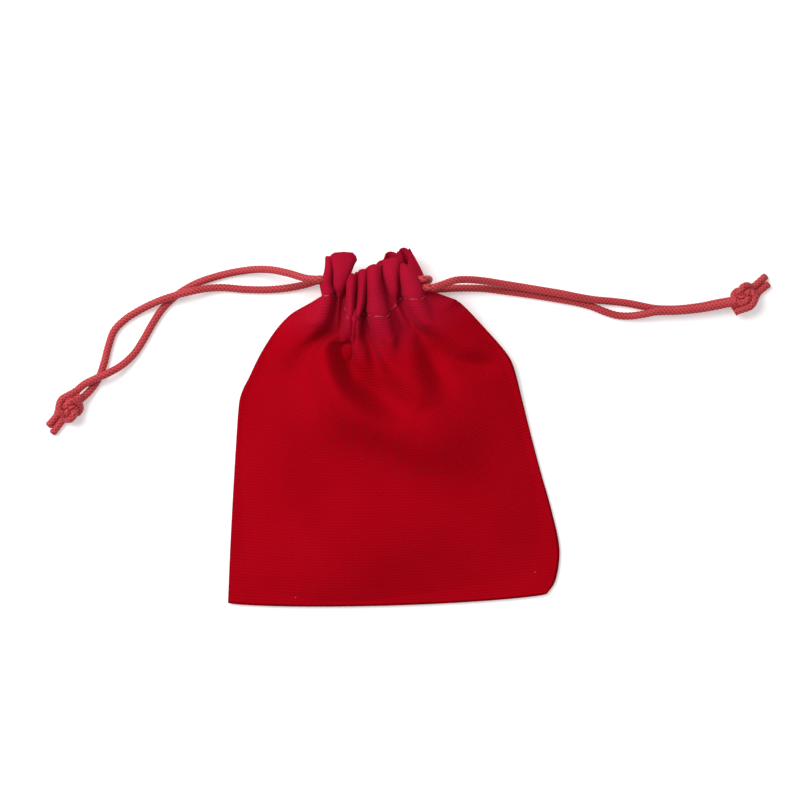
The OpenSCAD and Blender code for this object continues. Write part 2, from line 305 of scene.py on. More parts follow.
def melted():
    """The cord's melted end, darker and glossier than the braid."""
    n = Nodes("melted_cord_end")
    place = n.add("ShaderNodeTexCoord").outputs["Object"]
    lumps = n.noise(place, 1400.0, 3.0)
    colour = n.ramp(lumps, [(0.35, (0.20, 0.008, 0.015)), (0.65, (0.42, 0.04, 0.05))])
    rough = n.math("MULTIPLY_ADD", lumps, 0.3, 0.2)
    return n.surface(Base_Color=colour, Roughness=rough, Normal=n.bump(lumps, 0.12 * MM, 0.7))


VELVET = velvet("red_velvet")
CORD = braid("red_braid", (0.32, 0.012, 0.019), (0.54, 0.066, 0.073))
THREAD = thread()
MELTED = melted()

# ---- cords
OVER_Z = 1.5 * CORD_D + 0.2  # the height of a strand that lies over another
# The free strands, from the neck to the knot. Points with no height lie on the table.
STRANDS = {
    "left_cord_upper_strand": [
        (-23, 45, FRONT_CORD_Z), (-24, 45, FRONT_CORD_Z), (-27, 45.4, 11.8), (-32, 47, 9.4),
        (-37, 48.2, 6.4), (-42, 48.6, 3.6), (-47, 48.2, 1.8), (-52, 47.3), (-57, 45.9), (-61, 44.4),
        (-65, 42.2), (-68.4, 39.6), (-71.5, 36.4), (-74.4, 32), (-77, 27.4), (-80, 22.8, 1.3),
        (-83.6, 19.3, 2.3), (-87.5, 16.9, OVER_Z), (-91.4, 15.2, OVER_Z), (-95, 13.4, 3.2),
        (-97.6, 11, 3.6), (-99, 8.6, 4.2)],
    "left_cord_lower_strand": [
        (-23, 45, BACK_CORD_Z), (-24, 45, BACK_CORD_Z), (-28, 43.9, 1.9), (-33, 43, 1.3), (-39, 42.5),
        (-46, 42.6), (-52.5, 43.1, 1.4), (-57.5, 42.8, 2.4), (-62, 41.9, OVER_Z), (-66.5, 40.8, OVER_Z),
        (-71, 39.4, 3.1), (-75, 37.8, 2.2), (-79, 35.8, 1.4), (-83, 33.2), (-86.2, 29.8), (-87.9, 25.2),
        (-89.2, 20.2), (-91, 15.2), (-93.8, 11.2, 1.6), (-96.8, 8.2, 3.2)],
    "right_cord_upper_strand": [
        (11, 42.5, FRONT_CORD_Z), (12, 42.5, FRONT_CORD_Z), (14.5, 43.4, 12), (18.5, 44.8, 10.8),
        (23, 45.1, 8.6), (28, 44.8, 6.2), (33, 44.1, 4.4), (39, 43.2, OVER_Z), (45, 42.2, OVER_Z),
        (51, 41.2, OVER_Z), (57, 40, 3.1), (62, 39.3, 2.1), (67, 38.9, 1.3), (72, 38.3), (76.5, 37.4),
        (80.5, 36.7), (87, 36.6), (94, 37.4, 1.3), (100, 38.6, 2.2), (105.4, 39.4, 3.4)],
    "right_cord_lower_strand": [
        (11, 42.5, BACK_CORD_Z), (12, 42.5, BACK_CORD_Z), (15, 42.7, 1.9), (20, 43, 1.3), (27, 42.9),
        (33, 42.2), (39, 41.4), (45, 40.5), (51, 39.5), (56, 38.6), (60.5, 37.4), (64.5, 35.8),
        (68.5, 34.6), (72.5, 34.4, 1.6), (76.5, 34.9, 2.8), (80.5, 35.6, OVER_Z), (87, 35.8, OVER_Z),
        (94, 36.5, 3.8), (100, 37.6, 4.2), (104.6, 38.6, 4.8)],
}
# Each knot's place, and the direction of its tails in degrees.
KNOTS = {"left": ((-100.2, 6.4, 4.4), 231), "right": ((107.8, 39.8, 4.4), 40)}
YARNS = 5  # yarns of the braid that turn each way
YARN_PITCH = 6.2  # length of one turn of a yarn
YARN_H = 0.2  # how far a yarn stands out
SIDES = 30
RING = 0.22  # from one ring of the mesh to the next


def tube(line, radius, sides, braided):
    """Vertices, faces and UVs of a tube along the line, with the braid's yarns raised on it."""
    count = len(line)
    tangent = np.gradient(line, axis=0)
    tangent /= np.linalg.norm(tangent, axis=1)[:, None]
    side = np.zeros_like(line)
    first = np.cross(tangent[0], (0, 0, 1))
    if np.linalg.norm(first) < 0.1:
        first = np.cross(tangent[0], (0, 1, 0))
    side[0] = first / np.linalg.norm(first)
    for i in range(1, count):
        carried = side[i - 1] - tangent[i] * np.dot(side[i - 1], tangent[i])
        side[i] = carried / np.linalg.norm(carried)
    up = np.cross(tangent, side)
    run = run_along(line)
    angle = 2 * np.pi * np.arange(sides) / sides
    twist = 2 * np.pi * run / YARN_PITCH
    one = np.cos(YARNS * (angle[None, :] + twist[:, None]))
    other = np.cos(YARNS * (angle[None, :] - twist[:, None]))
    over = 0.5 + 0.5 * np.sign(np.sin(YARNS * angle[None, :]) * np.sin(YARNS * twist[:, None]))
    raised = np.maximum(one * (0.75 + 0.25 * over), other * (1 - 0.25 * over))
    raised = np.clip(0.5 + 0.5 * raised, 0, 1) if braided else np.full_like(raised, 0.5)
    r = radius - YARN_H * 0.55 + YARN_H * raised if braided else np.full_like(raised, radius)
    ring = np.cos(angle)[None, :, None] * side[:, None, :] + np.sin(angle)[None, :, None] * up[:, None, :]
    vertices = line[:, None, :] + r[:, :, None] * ring
    ids = np.arange(count * sides).reshape(count, sides)
    after = np.roll(ids, -1, axis=1)
    faces = np.stack([ids[:-1], after[:-1], after[1:], ids[1:]], -1).reshape(-1, 4).tolist()
    faces += [ids[0, ::-1].tolist(), ids[-1].tolist()]
    return vertices.reshape(-1, 3), faces, raised.ravel(), run


def cord_piece(name, lines, material=None, radius=CORD_D / 2, braided=True, sides=SIDES):
    """One object holding a tube along each line, in millimetres."""
    vertices, faces, raised, base = [], [], [], 0
    coordinates = []
    for line in lines:
        v, f, h, run = tube(np.asarray(line, float), radius, sides, braided)
        vertices.append(v)
        raised.append(h)
        faces += [[i + base for i in face] for face in f]
        around = np.arange(sides) / sides * 2 * math.pi * radius
        coordinates.append(np.stack(np.broadcast_arrays(run[:, None], around[None, :]), -1).reshape(-1, 2))
        base += len(v)
    piece = new_object(name, np.concatenate(vertices) * MM, faces, material or CORD)
    mesh = piece.data
    mesh.polygons.foreach_set("use_smooth", [True] * len(mesh.polygons))
    mesh.attributes.new("raised", "FLOAT", "POINT").data.foreach_set("value", np.concatenate(raised))
    lay = mesh.uv_layers.new(name="lay")
    corners = np.empty(len(mesh.loops), int)
    mesh.loops.foreach_get("vertex_index", corners)
    lay.data.foreach_set("uv", (np.concatenate(coordinates)[corners] * MM).ravel())
    return piece


def ringed(line):
    """The line's points, as far apart as the rings of a cord's mesh."""
    return evenly(line, max(8, int(run_along(line)[-1] / RING)))


def free_strand(name):
    """One free strand of cord, from the neck to the knot."""
    route = [point if len(point) == 3 else (*point, CORD_D / 2) for point in STRANDS[name]]
    line = ringed(curve(route, 400))
    piece = cord_piece(name.replace("_cord", "") + "_of_cord", [line])
    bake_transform(piece)
    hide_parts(name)


KNOT_LOOP = 0.76  # size of the overhand knot's loops
KNOT_RISE = 1.75  # how far its crossings lie above and below its middle
KNOT_DROP = 1.3  # how far its middle is below the CAD knot's
TAIL_REACH = 8.6  # from the knot's middle to a tail's end
TAILS_DIFFER = 0.5  # how much longer or shorter than that each tail is


def knot_lines():
    """The overhand knot that is tied in both strands at once, side by side, along +X towards the tails."""
    t = np.linspace(math.pi + 0.5, 3 * math.pi - 0.5, 24)
    loop = np.stack([np.sin(t) + 2 * np.sin(2 * t), np.cos(t) - 2 * np.cos(2 * t) + 0.9], 1) * KNOT_LOOP
    loop = np.concatenate([loop, -KNOT_RISE * np.sin(3 * t)[:, None]], 1)
    inlet = [(-5.6, 0, 0.7), (-4.4, -0.2, 1.0), (-2.6, -0.9, 1.5), (-0.8, -1.5, 1.8)]
    outlet = [(0.6, -1.5, -1.6), (2.4, -0.7, -1.7), (4.2, 0, -1.8)]
    middle = curve([*inlet, *loop, *outlet], 400)
    along = np.gradient(middle[:, :2], axis=0)
    across = np.stack([-along[:, 1], along[:, 0], np.zeros(len(along))], 1)
    across /= np.linalg.norm(across, axis=1)[:, None]
    return [ringed(middle + across * way * CORD_D * 0.48) for way in (-1, 1)]


def placed(line, at, turn):
    """A line in a knot's own frame, put at the knot."""
    c, s = math.cos(math.radians(turn)), math.sin(math.radians(turn))
    x, y, z = np.asarray(line, float).T
    return np.stack([at[0] + c * x - s * y, at[1] + s * x + c * y, at[2] + z], 1)


def make_knot(side):
    (x, y, z), turn = KNOTS[side]
    at = x, y, z - KNOT_DROP
    knot = cord_piece(side + "_cord_knot", [placed(line, at, turn) for line in knot_lines()])
    ends, caps = [], []
    for way in (-1, 1):
        route = [(2.8, 1.06 * way, -1.7), (4.6, 1.08 * way, -1.8), (6.6, 1.12 * way, -1.9),
                 (TAIL_REACH + TAILS_DIFFER * way, 1.2 * way, -1.95)]
        line = curve(route, 60)
        ends.append(placed(ringed(line), at, turn))
        onward = (line[-1] - line[-2]) / np.linalg.norm(line[-1] - line[-2])
        caps.append(placed(line[-1] + np.outer(np.linspace(-0.25, 0.4, 5), onward), at, turn))
    tails = cord_piece(side + "_cord_ends", ends)
    melted_ends = cord_piece(side + "_cord_melted_ends", caps, MELTED, CORD_D / 2 * 0.93, False, 20)
    bevel = melted_ends.modifiers.new("round", "BEVEL")
    bevel.width = 0.3 * MM
    bevel.segments = 3
    pieces = (knot, "_knot", "cord"), (tails, "_cord_tails", "cord"), (melted_ends, "_cord_tips", "cord_tip")
    for piece, node, slot in pieces:
        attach(piece, side + "_cord")
        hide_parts(side + node)


for cord_side in ("left", "right"):
    make_knot(cord_side)
for strand in STRANDS:
    free_strand(strand)

# ---- the drawn pouch's lines
# Side seams, from the bottom corner up to the casing.
LEFT_SEAM = [(-51.2, -53.8), (-50.5, -37), (-49.4, -16), (-48, 5), (-46.9, 10.8), (-44.6, 15.5),
             (-40.6, 23.4), (-35.2, 31.2), (-29, 36.8), (NECK_L, 41)]
RIGHT_SEAM = [(46.8, -51), (49.6, -46.5), (50.7, -37), (48.2, -25), (45.1, -14), (42.3, -3.5), (39.4, 8),
              (36.8, 18), (34.3, 23), (27.7, 30.5), (20.9, 37.5), (15.2, 41.9), (NECK_R, 42.6)]
BOTTOM_BOW = 2.2  # how far the bottom seam bows down
SEAM_Z = 1.2  # the side seams' height above the table, low on the pouch
SEAM_RISE = 7.6  # how much higher they are at the casing
SEAM_BEND = 0.45  # the share of the way up at which they start to rise
# The folds of the casing and of the cloth just under it, left to right, as the camera sees them. For each
# fold: across, half its width, its height as a share of the swing, and up; then the height of the valley
# after it, as such a share too. One list for each height above the stitches.
FRONT_FOLDS = {
    -9.4: [(-23.4, 2.9, 1, 31.6, 0.05), (-18, 0.8, 0, 30, -0.1), (-14.4, 1.9, 0.50, 26.6, 0.42),
           (-11.6, 1.5, 0.44, 26.4, -0.15), (-2.6, 3.3, 1, 26.6, 0.2), (4.2, 0.8, 0, 29.6, -0.15),
           (10, 3, 0.95, 31.4, 0.1)],
    0: [(-20.6, 2.3, 0.97, 40.7, 0.5), (-17.3, 0.6, 0.45, 39.6, 0), (-13.7, 1.5, 1, 33.5, 0.88),
        (-11.3, 1.1, 0.97, 33.7, 0), (-4.8, 3.7, 1.05, 34.3, 0.35), (0.7, 0.5, 0.35, 37.8, 0),
        (6.2, 3.4, 1, 39.6, 0.12)],
    4.5: [(-21.1, 2, 0.95, 44.5, 0.3), (-17.2, 1.9, 0.95, 43.6, 0.1), (-13.5, 1.4, 1.1, 38.4, 0.4),
          (-10.4, 1.4, 1, 38.8, 0.2), (-5.4, 3.1, 1.1, 39.2, 0.25), (-0.2, 1.6, 0.95, 42.2, 0.2),
          (5.6, 3.5, 1, 43.7, 0.12)],
    9: [(-20.3, 1.4, 0.8, 48.6, 0.4), (-16.3, 2.8, 1, 48.8, 0.2), (-13.4, 1.6, 1.2, 43.4, 0.5),
        (-9.9, 1.5, 1, 44.4, 0.35), (-6.2, 2.4, 1.15, 45.3, 0.3), (-0.9, 2.4, 1.1, 47.8, 0.3),
        (4.2, 2.9, 0.9, 47.6, 0.2)],
    14: [(-20.2, 1.2, 0.5, 53, 0.4), (-15.7, 4.2, 1, 55, 0.3), (-13.2, 1.8, 1.1, 47.7, 0.6),
         (-9.6, 1.7, 0.85, 49.1, 0.5), (-6.2, 2.5, 0.95, 50.5, 0.4), (-0.9, 2.9, 1.05, 53, 0.4),
         (2.7, 1.9, 0.7, 50.8, 0.3)]}
BACK_FOLDS = {
    -9.4: [(-24.6, 3, 0.9, 32.4, 0.1), (-15.6, 3.2, 1, 29.6, 0), (-6.4, 3.2, 1, 28.8, 0),
           (2.6, 3.2, 1, 29.8, 0.1), (11.6, 3, 0.9, 32.4, 0.1)],
    0: [(-19.6, 2.2, 0.9, 41, 0.1), (-13, 2.6, 1, 39, 0), (-6.4, 2.6, 1, 38.2, 0),
        (0.4, 2.6, 1, 39.4, 0.1), (6.8, 2.4, 0.9, 40.6, 0.1)],
    4.5: [(-19.8, 2, 0.9, 44.6, 0.1), (-13.4, 2.6, 1, 42.8, 0), (-6.8, 2.6, 1, 42, 0),
          (0.3, 2.6, 1, 43.8, 0.1), (6.4, 2.4, 0.9, 44.6, 0.1)],
    9: [(-19.4, 2, 1, 48.8, 0.2), (-13.6, 2.5, 1.2, 45.4, 0.1), (-7.8, 2.4, 1.1, 45.6, 0.1),
        (-0.2, 2.6, 0.6, 49.2, 0.3), (5.2, 2.4, 0.5, 49.6, 0.25)],
    14: [(-19, 2.1, 0.9, 52.6, 0.3), (-13.8, 2.4, 1.3, 47.4, 0.2), (-8.6, 2.3, 1.2, 48.8, 0.3),
         (-1, 2.4, 0.4, 54.4, 0.3), (2.9, 1.6, 0.35, 55.6, 0.3)]}
# The casing's two ends, at the same heights: across, and up.
LEFT_END = {-9.4: (-30.4, 36.1), 0: (-22.3, 41), 4.5: (-22.9, 44.2), 9: (-21.4, 48.6), 14: (-21, 53)}
RIGHT_END = {-9.4: (18.9, 39.5), 0: (10.7, 42.7), 4.5: (9.9, 44.6), 9: (8.2, 49), 14: (4.7, 55.4)}
# The casing's length along its folds, at the same heights.
FRONT_W = {-9.4: 82, 0: 84, 4.5: 80, 9: 73, 14: 65}
BACK_W = {-9.4: 78, 0: 84, 4.5: 81, 9: 76, 14: 74}
TAKE_IN = 0.18  # how much narrower the cloth is cut at its stitches, as its gathers are squeezed
TAKE_IN_FROM = 50  # the height from which it narrows
FRONT_SHORTER, BACK_SHORTER = 0.065, 0.045  # how much shorter it is cut in its middle
FRONT_LOW = 9.4  # the height that the front casing's folds rise from
BACK_HIGH = 8.4  # the height that the back casing's folds hang from
MEET_COLS = 4  # columns from a seam over which the two casings come together
# Where the first soft folds run, on the flat front: across from its middle, and up from the bottom seam.
RIDGES = [[(-26, 89), (-20.7, 80), (-10.4, 68), (-2.3, 60), (6.6, 54), (14, 51)],
          [(2.8, 90), (10, 82), (15.6, 72), (17.6, 65)],
          [(24, 95), (28, 86), (36.5, 79)]]
VALLEYS = [[(-16, 91), (-6, 81), (4, 71), (14, 63), (20, 59)],
           [(14.8, 95), (20, 84), (23.5, 76), (25.6, 66)],
           [(-36, 95), (-34, 86), (-38, 78)]]
SEED_W, SEED_H = 4.5, 2.2  # how wide and high these are before the cloth is drawn
FLAT_Z = 1.5  # how high the layers lie at the seams before the cloth is drawn
FRONT_PUFF, BACK_PUFF = 2.2, -0.9  # how far each is from there in the middle
PUFF_OVER = 12  # the height over which they part, from the bottom seam

# ---- simulation
COLS, BODY_ROWS, HEADER_ROWS = 72, 66, 10
ROWS = BODY_ROWS + HEADER_ROWS
FRONT, BACK = 0, 1
SIM_SCALE = 20.0  # the cloth is simulated at this many times its size
DRAW_FRAMES = 45  # frames in which the mouth is drawn shut
END_FRAME = 63
DRAW_STEPS = 5  # shapes that the held cloth goes through in them
BAND_ROWS = 6  # how many rows below the stitches are held in their folds


def fold_points(folds, left, right, level):
    """Points over a row of folds, left to right: across, height as a share of the swing, and up."""
    points = [(left[0], 0.1, left[1])]
    valley_y = left[1]
    for i, (x, half, height, y, low) in enumerate(folds):
        if i + 1 < len(folds):
            after = folds[i + 1]
            sag = 1.2 * (1 - 1.8 * max(level, 0) / HEADER_H) * (1 - low)
            valley = ((x + half + after[0] - after[1]) / 2, low, (y + after[3]) / 2 + sag)
        else:
            valley = (right[0], low, right[1])
        round_off = half * max(level, 0) / HEADER_H
        points += [(x - half, height * 0.5, 0.6 * y + 0.4 * valley_y - 0.4 * round_off),
                   (x - 0.72 * half, height * 0.84, y - 0.25 * round_off), (x, height, y),
                   (x + 0.72 * half, height * 0.84, y - 0.25 * round_off),
                   (x + half, height * 0.5, 0.6 * y + 0.4 * valley[2] - 0.4 * round_off), valley]
        valley_y = valley[2]
    return np.array(points)


def as_seen(points):
    """The points moved so that the camera sees each where it would if it lay on the table: (x, y, z) rows."""
    share = 1 - points[:, 2:] / (VIEW_W * LENS / SENSOR_W)
    return np.concatenate([CAMERA_AT + (points[:, :2] - CAMERA_AT) * share, points[:, 2:]], 1)


def gathered(folds, widths, low, way, heights):
    """The gathered casing's points, (x, y, z), for each height above its stitches and each column of cloth.

    The swing is the one that gives each row of folds its length. The columns are even at the stitches.
    """
    levels = sorted(folds)
    share = None
    lines = {}
    t = np.linspace(0, 1, 1500)
    for level in sorted(levels, key=abs):
        points = fold_points(folds[level], LEFT_END[level], RIGHT_END[level], level)
        least, most = 0.5, 40.0
        for _ in range(40):
            swing = (least + most) / 2
            line = np.stack([points[:, 0], points[:, 2], low + way * points[:, 1] * swing], 1)
            run = run_along(spline(line, t))
            least, most = (swing, most) if run[-1] < widths[level] else (least, swing)
        if share is None:
            share = np.interp(np.linspace(0, 1, COLS + 1) * run[-1], run, t)
        lines[level] = as_seen(spline(line, share)).ravel()
    along = np.interp(heights, levels, np.linspace(0, 1, len(levels)))
    return spline([lines[level] for level in levels], along).reshape(len(heights), COLS + 1, 3)


def smooth_step(value, low, high):
    """From 0 at the low value to 1 at the high one, with a soft start and end."""
    t = np.clip((value - low) / (high - low), 0, 1)
    return t * t * (3 - 2 * t)


def nearness(path, points, width):
    """How near each point is to the path: 1 on it, and almost 0 from two widths away."""
    best = np.full(len(points), np.inf)
    path = np.asarray(path, float)
    for a, b in zip(path[:-1], path[1:]):
        along = np.clip((points - a) @ (b - a) / ((b - a) @ (b - a)), 0, 1)
        best = np.minimum(best, np.linalg.norm(points - a - along[:, None] * (b - a), axis=1))
    return np.exp(-((best / width) ** 2))


class Grid:
    """Two layers of columns and rows, which share their vertices at the side seams and the bottom."""

    def __init__(self, cols, rows):
        self.cols, self.rows = cols, rows
        self.ids = np.full((2, cols + 1, rows + 1), -1)
        place = []
        for layer in (FRONT, BACK):
            for c in range(cols + 1):
                for r in range(rows + 1):
                    if layer == BACK and (c in (0, cols) or r == 0):
                        self.ids[BACK, c, r] = self.ids[FRONT, c, r]
                        continue
                    self.ids[layer, c, r] = len(place)
                    place.append((layer, c, r))
        self.place = np.array(place)

    def faces(self, layer):
        i = self.ids[layer]
        quads = np.stack([i[:-1, :-1], i[1:, :-1], i[1:, 1:], i[:-1, 1:]], -1).reshape(-1, 4)
        return quads if layer == FRONT else quads[:, ::-1]

    def from_seam(self):
        """How many columns or rows each of a layer's points is from a seam."""
        c, r = np.meshgrid(np.arange(self.cols + 1), np.arange(self.rows + 1), indexing="ij")
        return np.minimum(np.minimum(c, self.cols - c), r).ravel()


def row_heights():
    """How high each row of the coarse grid is on the flat cloth."""
    body = np.linspace(0, BODY_H, BODY_ROWS + 1)
    return np.concatenate([body, BODY_H + np.linspace(0, HEADER_H, HEADER_ROWS + 1)[1:]])


def cloth_shapes(grid):
    """The flat start, the cut, which points are held, and a function for the way to the drawn end."""
    layer, c, r = grid.place.T
    front = layer == FRONT
    heights = row_heights()
    h = heights[r]
    u = c / COLS
    bow = 1 - (2 * u - 1) ** 2
    flat = np.stack([(u - 0.5) * CLOTH_W, h, 0 * h], 1)

    # The cut: the middle is a little shorter, as the gathers take it up.
    short = np.where(front, FRONT_SHORTER, BACK_SHORTER) * bow
    cut = flat.copy()
    cut[:, 1] -= short * np.minimum(h, BODY_H) * np.minimum(h / BODY_H, 1)
    cut[:, 0] *= 1 - TAKE_IN * smooth_step(h, TAKE_IN_FROM, BODY_H)

    # The start: two flat layers, slightly apart, with the first hints of the folds.
    start = flat - (0, BODY_H / 2 + 2.5, 0)
    start[:, 2] = FLAT_Z + np.where(front, FRONT_PUFF, BACK_PUFF) * bow * np.minimum(1, h / PUFF_OVER)
    start[:, 2] += rng.normal(0, 0.03, len(start))
    on_sheet = flat[:, :2]
    ridges, valleys = (sum(nearness(path, on_sheet, SEED_W) for path in paths) for paths in (RIDGES, VALLEYS))
    start[:, 2] += np.where(front, SEED_H * (ridges - valleys), 0)

    # The end: the seams on their lines, and the casing's band on its pleats.
    end = start.copy()
    left, right = curve(LEFT_SEAM, BODY_ROWS + 1), curve(RIGHT_SEAM, BODY_ROWS + 1)
    body = r <= BODY_ROWS
    row = np.minimum(r, BODY_ROWS)
    end[body, :2] = (left[row] * (1 - u)[:, None] + right[row] * u[:, None])[body]
    end[r == 0, 1] -= BOTTOM_BOW * bow[r == 0] ** 0.7
    seam = body & ((c == 0) | (c == COLS))
    bent = np.clip((h / BODY_H - SEAM_BEND) / (1 - SEAM_BEND), 0, 1)
    end[seam, 2] = (SEAM_Z + SEAM_RISE * bent ** 1.6)[seam]
    rise = heights[BODY_ROWS - BAND_ROWS:] - BODY_H
    bands = [gathered(FRONT_FOLDS, FRONT_W, FRONT_LOW, 1, rise),
             gathered(BACK_FOLDS, BACK_W, BACK_HIGH, -1, rise)]
    for edge in (0, COLS):
        meet = (bands[FRONT][:, edge] + bands[BACK][:, edge]) / 2
        near = np.clip(1 - np.abs(np.arange(COLS + 1) - edge) / MEET_COLS, 0, 1)[None, :, None]
        for band in bands:
            band += near * (meet - band[:, edge])[:, None, :]
    above = r >= BODY_ROWS - BAND_ROWS
    level = np.maximum(r - BODY_ROWS + BAND_ROWS, 0)
    end[above] = np.where(front[:, None], bands[FRONT][level, c], bands[BACK][level, c])[above]
    held = (r == 0) | seam | above
    middle = np.where(front, FRONT_LOW, BACK_HIGH)

    def drawn(t):
        """The points part of the way: the pleats swing out early, so that they keep about their length."""
        points = start * (1 - t) + end * t
        swing = math.sqrt(1 - (1 - t) ** 2)
        points[above, 2] = (start[:, 2] * (1 - t) + t * middle + (end[:, 2] - middle) * swing)[above]
        return points

    return start, cut, held, drawn


def add_cloth(grid, scale):
    """The simulated cloth, with its cut and the steps of its drawing as shape keys."""
    start, cut, held, drawn = cloth_shapes(grid)
    mesh = bpy.data.meshes.new("cloth_simulation")
    faces = np.concatenate([grid.faces(FRONT), grid.faces(BACK)])
    mesh.from_pydata((start * scale).tolist(), [], faces.tolist())
    cloth = add_object("cloth_simulation", mesh)
    cloth.shape_key_add(name="start")
    cut_key = cloth.shape_key_add(name="cut")
    cut_key.data.foreach_set("co", (cut * scale).ravel())
    step_frames = DRAW_FRAMES / DRAW_STEPS
    for step in range(1, DRAW_STEPS + 1):
        key = cloth.shape_key_add(name="drawn_%d" % step)
        key.data.foreach_set("co", (drawn(step / DRAW_STEPS) * scale).ravel())
        for value, at in ((0, step - 1), (1, step)) + (((0, step + 1),) if step < DRAW_STEPS else ()):
            key.value = value
            key.keyframe_insert("value", frame=1 + step_frames * at)
    for channel in mesh.shape_keys.animation_data.action.fcurves:
        for point in channel.keyframe_points:
            point.interpolation = "LINEAR"
    rows = grid.place[:, 2]
    for name, members in (("held", held), ("puffed", rows < BODY_ROWS - 2)):
        cloth.vertex_groups.new(name=name).add(np.nonzero(members)[0].tolist(), 1.0, "REPLACE")

    modifier = cloth.modifiers.new("cloth", "CLOTH")
    s = modifier.settings
    s.quality = 6
    s.mass = 0.25
    s.rest_shape_key = cut_key
    s.tension_stiffness = s.compression_stiffness = 30
    s.shear_stiffness = 12
    s.bending_stiffness = 60
    s.tension_damping = s.compression_damping = s.shear_damping = 8
    s.bending_damping = 3
    s.air_damping = 4
    s.vertex_group_mass = "held"
    s.pin_stiffness = 1
    s.use_pressure = True
    s.uniform_pressure_force = 3
    s.vertex_group_pressure = "puffed"
    touch = modifier.collision_settings
    touch.distance_min = 0.008
    touch.collision_quality = 3
    touch.use_self_collision = True
    touch.self_distance_min = 0.012
    touch.self_friction = 8
    modifier.point_cache.frame_end = END_FRAME
    return cloth


def square(half):
    """The corners and the face of a square on the table."""
    return [(-half, -half, 0), (half, -half, 0), (half, half, 0), (-half, half, 0)], [(0, 1, 2, 3)]


def simulate():
    """The gathered cloth's points in millimetres, on the coarse grid."""
    scene = bpy.context.scene
    scale = MM * SIM_SCALE
    cloth = add_cloth(Grid(COLS, ROWS), scale)
    corners, faces = square(5.0)
    table_mesh = bpy.data.meshes.new("simulation_table")
    table_mesh.from_pydata(corners, [], faces)
    table = add_object("simulation_table", table_mesh)
    table.modifiers.new("solid", "COLLISION")
    table.collision.thickness_outer = 0.01
    table.collision.cloth_friction = 20

    scene.gravity = (0, 0, -9.81)
    first = scene.frame_current
    for at in range(1, END_FRAME + 1):
        scene.frame_set(at)
    settled = cloth.evaluated_get(bpy.context.evaluated_depsgraph_get()).data
    points = np.empty(len(settled.vertices) * 3, np.float32)
    settled.vertices.foreach_get("co", points)
    for thing in (cloth, table):
        bpy.data.objects.remove(thing)
    scene.frame_set(first)
    return points.reshape(-1, 3).astype(float) / scale


# ---- cloth pieces
FINER = 2  # the simulated grid is made this many times finer
ON_TABLE = 0.5  # the lowest that the cloth may lie
ROUNDING = 0.7  # how round the cloth's edges look
FACING = 0.3  # how much a corner's normal faces its face's way, at the least
GROOVE, GROOVE_W = 0.55, 0.7  # how far the stitches pull the cloth in, and over what width
TOP_ROUND = 1.2  # from the fold at the top, where the header is thinner
TOP_THIN = 0.55  # its thickness right at the fold, as a share
THICKEN_OVER = 3  # from the stitches to the casing's full thickness
V_LOW = 33.0  # the middle of the line that parts the casing from the body
V_RISE = 9.0  # how much higher that line is at the seams


def finer(points, times):
    """The grid's points with more of them along both directions, on a smooth surface."""
    for axis in (0, 1):
        moved = np.moveaxis(points, axis, 0)
        count = moved.shape[0]
        t = np.linspace(0, 1, (count - 1) * times + 1)
        moved = spline(moved.reshape(count, -1), t).reshape(len(t), *moved.shape[1:])
        points = np.moveaxis(moved, 0, axis)
    return points


# Soft folds pressed into the front, once it is simulated. For each point of a fold: across and up,
# then the fold's width and its height there.
PRESSED = [
    [(-24.5, 31, 3.6, 0.3), (-22.6, 22, 4.6, 2.8), (-17.5, 12, 5, 3.6), (-10, 4.5, 5, 3.2), (0, -1, 5, 1)],
    [(-16, 30, 2.6, -0.5), (-15, 22, 3.8, -3.4), (-10, 14, 4.4, -3.8), (-2.5, 8.5, 4.6, -3.2),
     (6, 4.5, 5, -1)],
    [(-1.5, 28, 3, 0.3), (4, 20, 3.8, 2.8), (8.2, 12, 4.2, 2.2), (10.5, 6, 5, 0)],
    [(5, 31, 2.4, -0.4), (10.6, 22, 3.2, -3.2), (14.4, 14, 3.8, -2.2), (15.6, 8, 5, -0.3)],
    [(11, 33, 3, 0.2), (16, 29.5, 3.6, 1.8), (24, 25.6, 4, 2.2), (32, 23.5, 4, 0.6)],
    [(14, 23, 2.6, -0.6), (20, 20, 2.6, -1.8), (28, 19.5, 2.6, -1.8), (33, 20, 2.6, -0.4)]]
PRESS_FADE = BODY_H - 9, BODY_H - 2  # the heights between which they fade out
EDGE_COLS = 6  # columns or rows from a seam over which they fade in
CALM_PASSES = 60
CALM_FADE = 60, 104  # the heights between which the smoothing of creases fades


def pressed_lift(seen):
    """How far the pressed folds lift the front at each place."""
    lift = np.zeros(len(seen))
    for fold in PRESSED:
        line = curve(fold, 60)
        away = np.linalg.norm(seen[:, None, :] - line[None, :, :2], axis=2)
        near = away.argmin(1)
        lift += line[near, 3] * np.exp(-((away.min(1) / line[near, 2]) ** 2))
    return lift


def calmed(coarse, grid):
    """The simulated points with the pressed folds, and small creases smoothed out, more so lower down."""
    result = coarse.copy()
    heights = row_heights()
    calm = (1 - 0.9 * smooth_step(heights, *CALM_FADE)) ** 2
    for layer in (BACK, FRONT):
        soft = coarse[grid.ids[layer]]
        for _ in range(CALM_PASSES):
            mean = soft.copy()
            mean[1:-1, 1:-1] = (soft[:-2, 1:-1] + soft[2:, 1:-1] + soft[1:-1, :-2] + soft[1:-1, 2:]) / 4
            soft += (mean - soft) * 0.8 * calm[None, :, None]
        result[grid.ids[layer]] = soft
    front = grid.ids[FRONT].ravel()
    edge = np.minimum(grid.from_seam(), EDGE_COLS) / EDGE_COLS
    stay = 1 - smooth_step(np.tile(heights, grid.cols + 1), *PRESS_FADE)
    result[front, 2] += pressed_lift(result[front, :2]) * edge * stay
    return result


